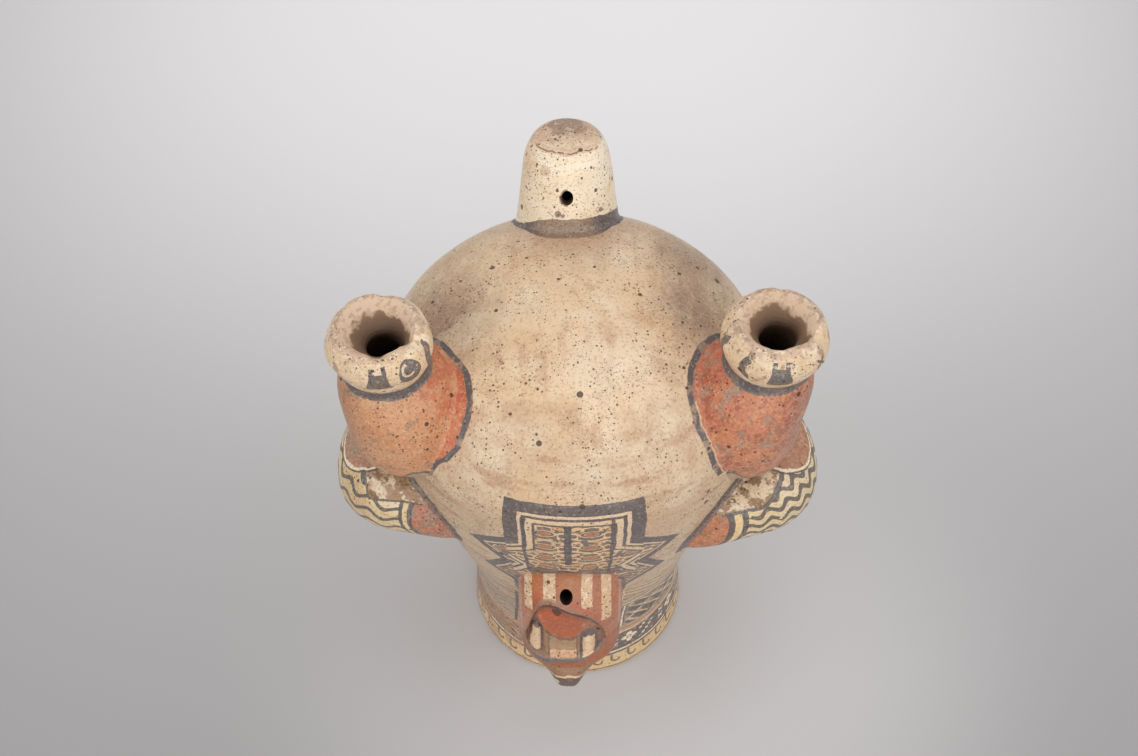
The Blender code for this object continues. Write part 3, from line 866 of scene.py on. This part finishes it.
leg_line, arm_line, tail_line_gap, head_line = (
    belly.read(limb + '_line') for limb in ('leg', 'arm', 'tail', 'head'))
left, right = east < 0, east > 0
brushed = belly.cloud(6, 2) * 3 - 1.5
uneven = belly.cloud(21, 3) * 4 - 2
left_reach = north.fade(-15, -58) * 6.6 - up.fade(277, 255) * 8 + 1.4
round_leg = leg_line + brushed * 0.4 + uneven * 0.5 - (left & left_reach) - right * 3.6
beside_leg = up - left * 2 > 248
lay('c67a54', (round_leg < 0) & left & beside_leg, 0.95)
lay(BRIGHT, (round_leg < 0) & left & beside_leg & blotch.fade(0.4, 0.6), 0.8)
lay('b67056', (round_leg < 0) & right & beside_leg, 0.95)
lay('d6b492', round_leg.near(-2.2, 0.8) & right & (up < 286) & beside_leg, 0.8)
lay('968070', round_leg.near(0, 2) & beside_leg, 0.9)
lay(BLACK, (round_leg + brushed * 0.3).near(0, 1.7) & belly.cloud(11, 4).fade(0.58, 0.52) & beside_leg, 0.9)
beside_arm = arm_line + brushed + uneven - right * 2.8
lay('96806e', beside_arm < 3.4, 0.85)
lay(BLACK, (beside_arm < 2.8) & (belly.cloud(13, 3).fade(0.6, 0.5) | right), 0.85)
round_tail = tail_line_gap + brushed * 0.6 + abs(east + 2.5).fade(14, 28) * 3.6 < 5.6
lay('927a6a', round_tail)
lay(BLACK, round_tail & abs(east + 2.5).fade(12, 24), 0.85)
lay(BLACK, head_line + brushed * 0.5 < 2.2, 0.75)


def throat_stripes(coat, x, z):
    """The specked cream stripes down the throat, with an orange one and an orange patch."""
    coat.lay('be6e42', abs(x + 24.5).fade(4.2, 2.6) & z.fade(152, 164), 0.85)
    coat.lay('984a34', abs(x + 24.5).fade(4, 2) & z.fade(168, 158) & z.fade(150, 156), 0.8)
    coat.lay('b2764e', abs(x + 5.5).fade(8.6, 4.6) & z.fade(164, 170), 0.8)
    coat.lay('a85c3e', abs(x + 6).fade(9, 5) & z.fade(166, 160) & z.fade(148, 154), 0.7)
    stripes = (x.near(-29.3, 2.3) & (z > 154)) | (x.near(-16.6, 3.7) & (z > 164))
    stripes = stripes | (x.near(5.6, 3.3) & (z > 160)) | (x.near(17.2, 3) & (z > 147))
    coat.lay('dab692', stripes)
    coat.lay(PALE, stripes & coat.cloud(4, 3).fade(0.5, 0.62), 0.6)
    return stripes


crown = (up + (east + 3) * (east + 3) * 0.0165 < 184.5) & east.near(-4.8, 29.2) & (head_line < 9)
crown = crown & (up > 158) & facing
round_crown = belly.colour
lay('b0745a')
throat_stripes(belly, east + shake * 1.6 - 0.8, up)
belly.colour = mixed(belly.tree, crown.socket, round_crown, belly.colour)
grit(belly, 0.62)

# ------------ painted neck
# Bands run round the neck, which hangs below the belly as the jar stands: hooks along the
# rim, four-petalled flowers on black, then a row of panels with bars and stepped frets.
neck = Coat('neck')
lay = neck.lay
ground(neck, 'd4b896', 'ba9070', CREAM)
east, north, up = neck.split(neck.point)
NECK_ARC = 1.24  # mm to a degree round the neck
around = east.bearing(north * -1)
shake = neck.cloud(6, 2)
arc = around * NECK_ARC + shake * 1.2
level = up + shake - 0.5
for colour, middle, half, strength in (
        ('e2c08c', 10.5, 6.6, 0.8), (BLACK, 3.4, 0.6, 0.8), (BLACK, 20.3, 3.4, 0.9), (PALE, 20.2, 0.9, 1),
        (BLACK, 32, 9, 0.9), (CREAM, 41.6, 0.8, 1), (ORANGE, 44.2, 1.6, 0.8), (BLACK, 46.6, 0.7, 0.85),
        (BLACK, 49.6, 0.6, 0.85), (BLACK, 87, 0.8, 0.85), (BLACK, 91.6, 0.7, 0.85), (PALE, 89.3, 0.8, 0.85),
        (GREY, 94, 0.5, 0.85), (GREY, 97.5, 0.5, 0.85)):
    lay(colour, level.near(middle, half), strength)
hook = arc.every(12.4)
curl = (hook - 2.9).out(level - 11.2)
hooks = (curl.near(2.9, 0.9) & (level < 11.6)) | (hook.near(0.1, 0.9) & level.near(13.8, 2.8))
lay(BLACK, hooks, 0.85)
flower = arc.every(40, 38)
petal = (level - 32).math('ARCTAN2', flower) * 2
from_heart = flower.out(level - 32)
lay(PALE, (from_heart < abs(petal.math('COSINE')) * 3.4 + 2.7) & ~from_heart.near(1.5, 0.4))
small = abs(arc.every(40, 27))
for middle, size in ((35.5, 3.4), (27.5, 3)):
    lay(PALE, (abs(small - abs(level - middle)) < 0.9) & (small.out(level - middle) < size))
stair = (arc * (1 / 2.7)).math('FLOOR') * 2.7
fret = (level - stair).every(11).near(0, 1.1) & abs(arc.every(40, 52.5)).near(0, 6.2)
lay(PALE, fret & level.near(32, 8))
zone = level.near(68, 17.2)
panel = arc.every(62, 51)
lay('968070', zone & (panel > -19), 0.8)
slant = (level * 0.75 + arc * 0.65 + shake * 2).every(8.2)
in_panel = zone & (panel > -17)
lay(BLACK, in_panel & slant.near(-1.2, 1.3), 0.8)
lay(BLACK, in_panel & neck.cloud(9, 3, (1, 1, 0.7)).fade(0.47, 0.5), 0.85)
lay(CREAM, in_panel & slant.near(1.7, 0.9) & neck.cloud(7, 2).fade(0.4, 0.46), 0.9)
lay(PALE, in_panel & (level - arc * 0.9).every(26).near(0, 1), 0.8)
lay(BLACK, zone & panel.near(-21.5, 3.4), 0.85)
lay(PALE, zone & abs(panel + 21.5).near(1.5, 0.7))
lay(BLACK, zone & panel.near(-25.6, 0.5), 0.8)
west = (east + shake * 16).fade(-14, -30) & (north < 20)
lay('bca48a', zone & west, 0.9)
lay(GREY, zone & west & (level + arc.wave(22, 4) + shake * 9).every(6.2).near(0, 0.8), 0.85)
lay('9c7660', level.near(33, 10) & west, 0.85)
lay('d2b08c', level.near(36, 14) & west & (level + arc * 0.35).every(5).near(0, 0.5), 0.8)
lay(BLACK, level.near(31, 8) & west & neck.cloud(5, 3).fade(0.58, 0.62), 0.7)
behind = level.near(55, 30) & (east < 0)
lay(BLACK, behind & north.near(20, 3), 0.85)
lay(PALE, behind & north.near(20, 1))
hatch = (level * 0.8 + abs(arc) * 0.55).every(6)
lay(GREY, hatch.near(0, 0.75) & level.near(112, 13) & north.fade(8, -8), 0.85)
lay(BLACK, level.near(101.5, 1.2) & north.fade(8, -8), 0.5)
lay(BLACK, (around - level * 0.13).near(-42.1, 1) & level.near(80, 34), 0.9)
head_line = neck.read('head_line')
lay(PALE, (head_line + shake).near(3.4, 0.6) & (east > 0), 0.8)
lay(BLACK, (head_line + shake * 2 < 2.6) & (east > 0), 0.75)
rubbed = neck.cloud(3.2, 4)
lay('c4a486', rubbed.fade(0.6, 0.66), 0.55)
lay('b0866a', neck.cloud(7, 4, (1, 1, 0.5)).fade(0.46, 0.56) & west & (level < 44), 0.6)
grit(neck, 0.35)

# ------------ painted legs
# The thighs are red and orange, with a black ring at the ankle. The paws are cream, worn to
# the pinkish clay on top, and black claws are painted on their outer faces.
for name, slips, ruddy, stain, claws in (
        ('left leg', (ORANGE, 'c4845c', WARM), (50, 100), ('b08064', 30, -6, -40, 0.5),
         ((3, 'pronged'), (40, 'curled'), (70, 'bent'))),
        ('right leg', ('c88264', 'b87054', ORANGE), (6, -44), ('b07e6c', 40, 24, 70, 0.8),
         ((-78, 'bent'), (-40, 'bent'), (1, 'pronged'), (50, 'crossed')))):
    leg = Coat(name)
    lay = leg.lay
    ground(leg, *slips)
    out, back, up = leg.on_limb()
    turn = out.bearing(back * -1)
    blotch = leg.cloud(9, 4)
    lay(BRIGHT, (turn + blotch * 60).fade(*ruddy) & blotch.fade(0.3, 0.6), 0.75)
    colour, ragged, low, high, strength = stain
    lay(colour, (turn + blotch * ragged).fade(low, high), strength)
    lay('cea076', leg.cloud(7, 4, (1, 1, 0.5)).fade(0.58, 0.66), 0.45)
    lay('967e6a', leg.cloud(9, 3).fade(0.6, 0.66), 0.6)
    if name == 'right leg':
        lay('985240', leg.cloud(5, 4).fade(0.5, 0.6), 0.5)
        lay('d68a5c', leg.cloud(6, 4, (1, 1, 0.6)).fade(0.54, 0.62), 0.5)
        lay('a08c7a', leg.cloud(11, 3).fade(0.57, 0.62), 0.6)
    on_paw = up > 309.5
    lay(CREAM, on_paw)
    lay(PALE, on_paw & leg.cloud(10, 3).fade(0.5, 0.62), 0.7)
    shaken = up + blotch * 3 - 1.5
    lay(GREY, shaken.near(307.6, 3.5))
    lay(BLACK, shaken.near(307.4, 2.6) & leg.cloud(12, 3).fade(0.36, 0.56), 0.8)
    for middle, kind in claws:
        along = (turn - middle) * 0.5 + blotch * 1.6 - 0.8
        if kind == 'pronged':  # a blunt claw, broad below, with two prongs
            shape = (abs(along) < (up - 324) * -0.26 + 5.8) & up.near(323.8, 6)
            shape = shape | (abs(along).near(3.7, 1.3) & up.near(330.5, 3))
        elif kind == 'curled':  # a rounded claw with a pale curl left in it
            curl = (along + 1).out(up - 327).near(3.2, 0.7) & (along + up * 0.5 < 164.2)
            shape = (along.out((up - 325.5) * 0.9) < 6.6) & ~curl
        elif kind == 'bent':
            shape = (along - 5.4).out(up - 325).near(7, 2.3) & (along < 3)
        else:  # two short strokes crossed
            shape = (abs(abs(along) - abs(up - 325.5)) < 1) & (along.out(up - 325.5) < 4.2)
        lay(BLACK, shape & (blotch > 0.34), 0.9)
    rub = leg.cloud(6, 4)
    lay('c6a690', (up + rub * 14).fade(341, 344.5), 0.8)
    lay('a08470', (up + leg.cloud(9, 4) * 12).fade(343, 345), 0.6)
    lay('987c66', (up > 317) & leg.cloud(8, 4).fade(0.6, 0.66), 0.7)
    lay(PALE, (up > 330) & leg.cloud(3.5, 4).fade(0.56, 0.62), 0.6)
    # the red stops short of the thigh's lower inner corner, with a black line along it
    corner = up - (out.fade(-8, 3) * 13 + 240 if name == 'left leg' else out.fade(4, -6) * 11 + 235)
    lay('bea082', corner + blotch * 3 < 1.5)
    lay(BLACK, (corner + blotch * 3).near(0.6, 1.5) & (abs(turn) < 62), 0.85)
    grit(leg, 0.85, 0.4)

# ------------ painted tail
# The tail is cream and thickly flecked; its cream is laid paler than the belly's as a painted
# highlight. Its tip is rubbed down to the clay above a crack.
tail_coat = Coat('tail')
lay = tail_coat.lay
# painted highlight: the tail's cream is laid paler than the belly's
ground(tail_coat, 'f2dec0', 'e6c49e', 'faeeda')
out, front, along = tail_coat.on_limb()
turn = out.bearing(front)
fray = tail_coat.cloud(6, 4)
bare = (along + fray * 7).fade(57, 63)
lay('c6a486', bare, 0.85)
lay('967c6c', bare & ((out * 0.8).out(front + 4) + fray * 14).fade(19, 14), 0.75)
lay(PALE, bare & tail_coat.cloud(4, 4).fade(0.54, 0.64), 0.4)
crack = tail_coat.read('crack')
lay('cea482', crack.near(0.4, 1.2) & turn.near(-3, 60), 0.5)
lay('705444', crack.near(0, 0.26) & turn.near(-3, 60) & (fray > 0.4), 0.8)
lay('c49674', ((turn + 30) * 0.5).out(along - 44) + fray * 9 < 8, 0.5)
for middle, height, size in ((-12, 19, 1.9), (42, 18.5, 1.5), (-6, 18, 1.2), (-3, 13, 1.2)):
    lay(GREY, ((turn - middle) * 0.5).out(along - height) + fray * 1.2 < size + 0.6, 0.85)
lay(TAN, (tail_coat.read('hole_line') + fray * 1.5 < 1.9) & (out < 0), 0.9)
collar = tail_coat.read('tail_line') + fray * 2 - turn.fade(-75, -15) * turn.fade(120, 90) * 6.5
lay('967e6c', collar < 2.2, 0.95)
lay(BLACK, (collar < 1.8) & abs(turn + 6).fade(22, 48), 0.85)
# painted shade: a ragged dark rim on the vent's left side widens its dark opening
lay('543c30', (tail_coat.read('hole_line') + fray * 5 < 3) & (out < 0), 0.85)
grit(tail_coat, 0.95, 0.36)

# ------------ painted arms
# Each arm has a red shoulder, a banded bracelet and wavy black lines running to the hand,
# which is a red patch beside the thigh. The cream above is flecked, and eroded in places.
for name, pitch, thick, swing, wave_length, dip, dip_turn, edge, wrist, broad, red, dull in (
        ('left arm', 22, 3.4, 6, 15, -3, 38, 2, 22.7, 2.9, 'b87a62', '9e8a78'),
        ('right arm', 20, 4.6, 5.4, 10, -14, 44, 3.6, 28.2, 4.2, 'c4825e', 'aa7458')):
    arm = Coat(name)
    lay = arm.lay
    ground(arm, 'e0c89c', 'ceac82', PALE)
    along, turn, up = arm.on_limb()
    fray = arm.cloud(7, 3)
    beyond = along - dip
    slopes, rubbed = ((1.15, 2.3), 0.38) if name == 'left arm' else ((1.1, 1.45), 0.5)
    worn = turn - (beyond * -slopes[0] | beyond * slopes[1]) - dip_turn + fray * 8 - 4
    wavy = turn + along.wave(wave_length, swing) + fray * 5 - 2.5
    bracelet = along - turn * 0.075 + fray * 1.4 - 0.7 + wrist
    lines = wavy.every(pitch, 10).near(0, thick) & (worn < -5) & (bracelet > 0)
    lay(BLACK, lines & (fray > 0.3), 0.9)
    lay(red, bracelet < -2)
    lay(dull, (bracelet < -2) & arm.cloud(8, 3).fade(0.48, 0.6), 0.7)
    lay(BLACK, bracelet.near(0, broad), 0.9)
    lay('e6c896', bracelet.near(0.3, broad * 0.36))
    bared = worn > -3
    lay('dec4a4', bared & (bracelet > -8))
    lay('a88668', bared & (bracelet > -8) & arm.cloud(13, 3).fade(rubbed, rubbed + 0.08), 0.9)
    lay('826240', bared & (bracelet > -4) & arm.cloud(7, 4).fade(0.54, 0.6), 0.8)
    lay(PALE, bared & arm.cloud(6, 4, (1, 1, 1.3)).fade(0.57, 0.62), 0.8)
    lay(BLACK, worn.near(-3.6, edge) & (bracelet > -6), 0.85)
    palm = (along - 27).out((turn - 89) * 0.45) + fray * 4
    lay(BLACK, palm < 25.5, 0.9)
    lay(PALE, palm < 24.2)
    lay('b2846a', palm < 22.4)
    lay(dull, (palm < 22.4) & arm.cloud(8, 3).fade(0.46, 0.58), 0.7)
    lay(PALE, arm.read('leg_line') + fray * 2 < 2.4, 0.8)
    lay(GREY, arm.read('arm_line') + fray * 3 < 3.4, 0.85)
    grit(arm, 0.7, 0.38)

# ------------ painted head
# The face is red, with specked cream stripes down the throat, a red tongue, cream fangs in
# grey outlines, ochre teeth, a grey line along the lip and a dark underside to the nose.
# Shade is painted under the lip and in the mouth's fold; highlights are painted on the
# tongue's lower edge, down the head's edges and on the nose.
face = Coat('head')
lay = face.lay
ground(face, 'b2765c', 'a66a52', 'c28a6c')
east, north, up = face.on_limb()
fray = face.cloud(5, 3)
x, z = east + fray * 1.6 - 0.8, up + fray * 3 - 1.5
jaw, sill, tongue = (face.read(name) for name in ('jaw', 'sill', 'tongue'))
throat = (jaw < -2) & (up > 130)
stripes = throat_stripes(face, x, z)
lay('be603a', jaw.near(-4.5, 2.6) & (x - jaw).near(12, 9) & (fray > 0.42), 0.5)
# painted highlight: pale lines down both edges of the head, where its front turns to the sides
lay('cca08a', (x.near(25.5, 0.9) | x.near(-34.2, 0.8)) & (up > 110), 0.7)
lay('987660', jaw.near(-2.6, 2.4) & (up > 122), 0.7)
mouth = (jaw > 0) & (sill > 0)
lay('966c56', mouth)
on_tongue = mouth & (tongue > 0)
lay('ac6246', on_tongue)
lay('c26238', on_tongue & x.fade(-6, -18) & jaw.fade(14, 5), 0.65)
# painted shade: the tongue darkens just under the overhanging lip
lay('965842', on_tongue & jaw.fade(8, 4), 0.6)
# painted highlight: pale patches along the tongue's rolled lower edge
lay('c48466', on_tongue & tongue.fade(8, 1) & fray.fade(0.4, 0.6), 0.6)
lay('9e7662', on_tongue & x.fade(-2, 9), 0.75)
lay('b09070', mouth & (tongue < -0.6) & x.near(-9.3, 11), 0.95)
lay('785e4c', mouth & (tongue < 0) & (abs(x + 9.2) - 8.6).near(0, 0.6), 0.75)
lay('785e4c', mouth & tongue.near(-1.6, 1.3) & x.near(-9.3, 11), 0.7)
lay('deb28e', mouth & sill.near(3.2, 2.6) & x.near(-9, 8), 0.85)
lay('7c685e', (jaw + fray).near(-1.3, 1.1) & (x > -2) & (up > 118), 0.85)
# painted shade: a dark line in the gap under the lip's edge, and a dark patch in the middle of the mouth's
# fold
lay('543a30', (jaw + fray * 2).near(-0.5, 1.2) & abs(x + 8).fade(18, 12) & (up > 118), 0.9)
lay('543a30', ((x + 12.2) * 0.7).out((jaw - 3.5) * 0.5) + fray * 3 < 3.4, 0.9)
slope = (z - 116) * 0.06
left_fang, right_fang = abs(x + 26 - slope) + slope, abs(x - 6.7)
lay('746c6a', (left_fang < 4.9) & z.near(129.5, 13.5) & (x > -26.5), 0.85)
lay('746c6a', (right_fang < 5.6) & (z + right_fang * 0.6).near(124.6, 12.4) & mouth, 0.9)
lay('e2c29c', (left_fang < 3.5) & z.near(125, 12.6))
lay('e2c29c', (right_fang < 3.9) & (z + right_fang * 0.5).near(123.6, 8))
below = (sill < 0) & (jaw > -40) & (north < -88)
lay('98624a', below)
lay('ac6646', below & (up > 103) & (fray > 0.44), 0.7)
lay('987a62', sill.near(0, 2.6) & x.near(-26, 9), 0.85)
lay('706a6e', (sill + fray * 1.6).near(-0.2, 1.1) & abs(x + 8 + fray * 6).fade(20, 16), 0.9)
lay('7c7270', (sill + fray).near(0.4, 2.4) & x.near(13, 3.4), 0.7)
from_nose = abs(x + 6.5)
on_nose = (from_nose < (up - 84) * 0.3 + 10) & (up < 106.5) & (up > 74) & (north < -100)
lay('967256', on_nose)
# painted highlight: a cream line where the nose's slope catches the light, above the dark pad
lay('debe9c', on_nose & (z + from_nose * 0.12).near(100.6, 0.7), 0.9)
lay('685a54', on_nose & (z + from_nose * 0.12 < 99.9), 0.9)
# painted highlight: a small pale glint on the side of the nose
lay(PALE, on_nose & (x + 13).out(z - 95.5).near(0, 1.3), 0.8)
muzzle = (up < 96) & ~on_nose
lay('c69e7a', muzzle, 0.7)
eye = (abs(east + 4.5) - 16).out(up - 80)
ear = (north + 75).out((up - 79) * 0.85)
lay('debc96', muzzle & (ear < 5.6), 0.9)
lay(BLACK, muzzle & ear.near(6.2, 0.8), 0.9)
lay(BLACK, muzzle & (eye < 8.6), 0.9)
lay(CREAM, muzzle & (eye < 6.6))
lay(BLACK, muzzle & (eye < 2.6), 0.9)
lay(BLACK, (up + abs(east + 4.5) * 0.2).near(68, 1.6) & muzzle, 0.85)
lay(BLACK, (face.read('head_line') + fray * 2 < 2.2) & (up < 158), 0.8)
grit(face, throat * stripes * 0.8 + 0.28, on_tongue * -0.14 + 0.4, 0.08)

# ------------ bare inside
# Inside, the brown clay was never slipped. In the paws it shows below a ragged edge.
# Deeper in the hollows and in the head's vent it is laid darker, as painted shade.
inside = Coat('inside')
lay = inside.lay
lay('96765c')
east, north, up = inside.split(inside.point)
lay('7e624e', inside.cloud(18, 4).fade(0.45, 0.65), 0.6)
# painted shade: the clay is laid darker deeper down the hollows
lay('463428', (up + inside.cloud(9, 3) * 6).fade(340, 324) & (up > 180), 0.9)
# painted shade: the inside of the vent in the head's throat is laid near black
lay('342620', (north < -84) & (up > 140), 0.9)
slipped = (up + inside.cloud(6, 4) * 9).fade(335.6, 337.6)
lay('d8bca0', slipped)
lay('b2927a', slipped & inside.cloud(3, 4).fade(0.5, 0.62), 0.6)
lay(CREAM, (inside.read('hole_line') < 2.5) & (up < 20), 0.5)
inside.burnish(0.75, inside.cloud(1.6, 3), 0.0004)

pot.name = pot.data.name = 'painted_jar'
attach(pot, 'root')
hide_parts('tripod_pot')
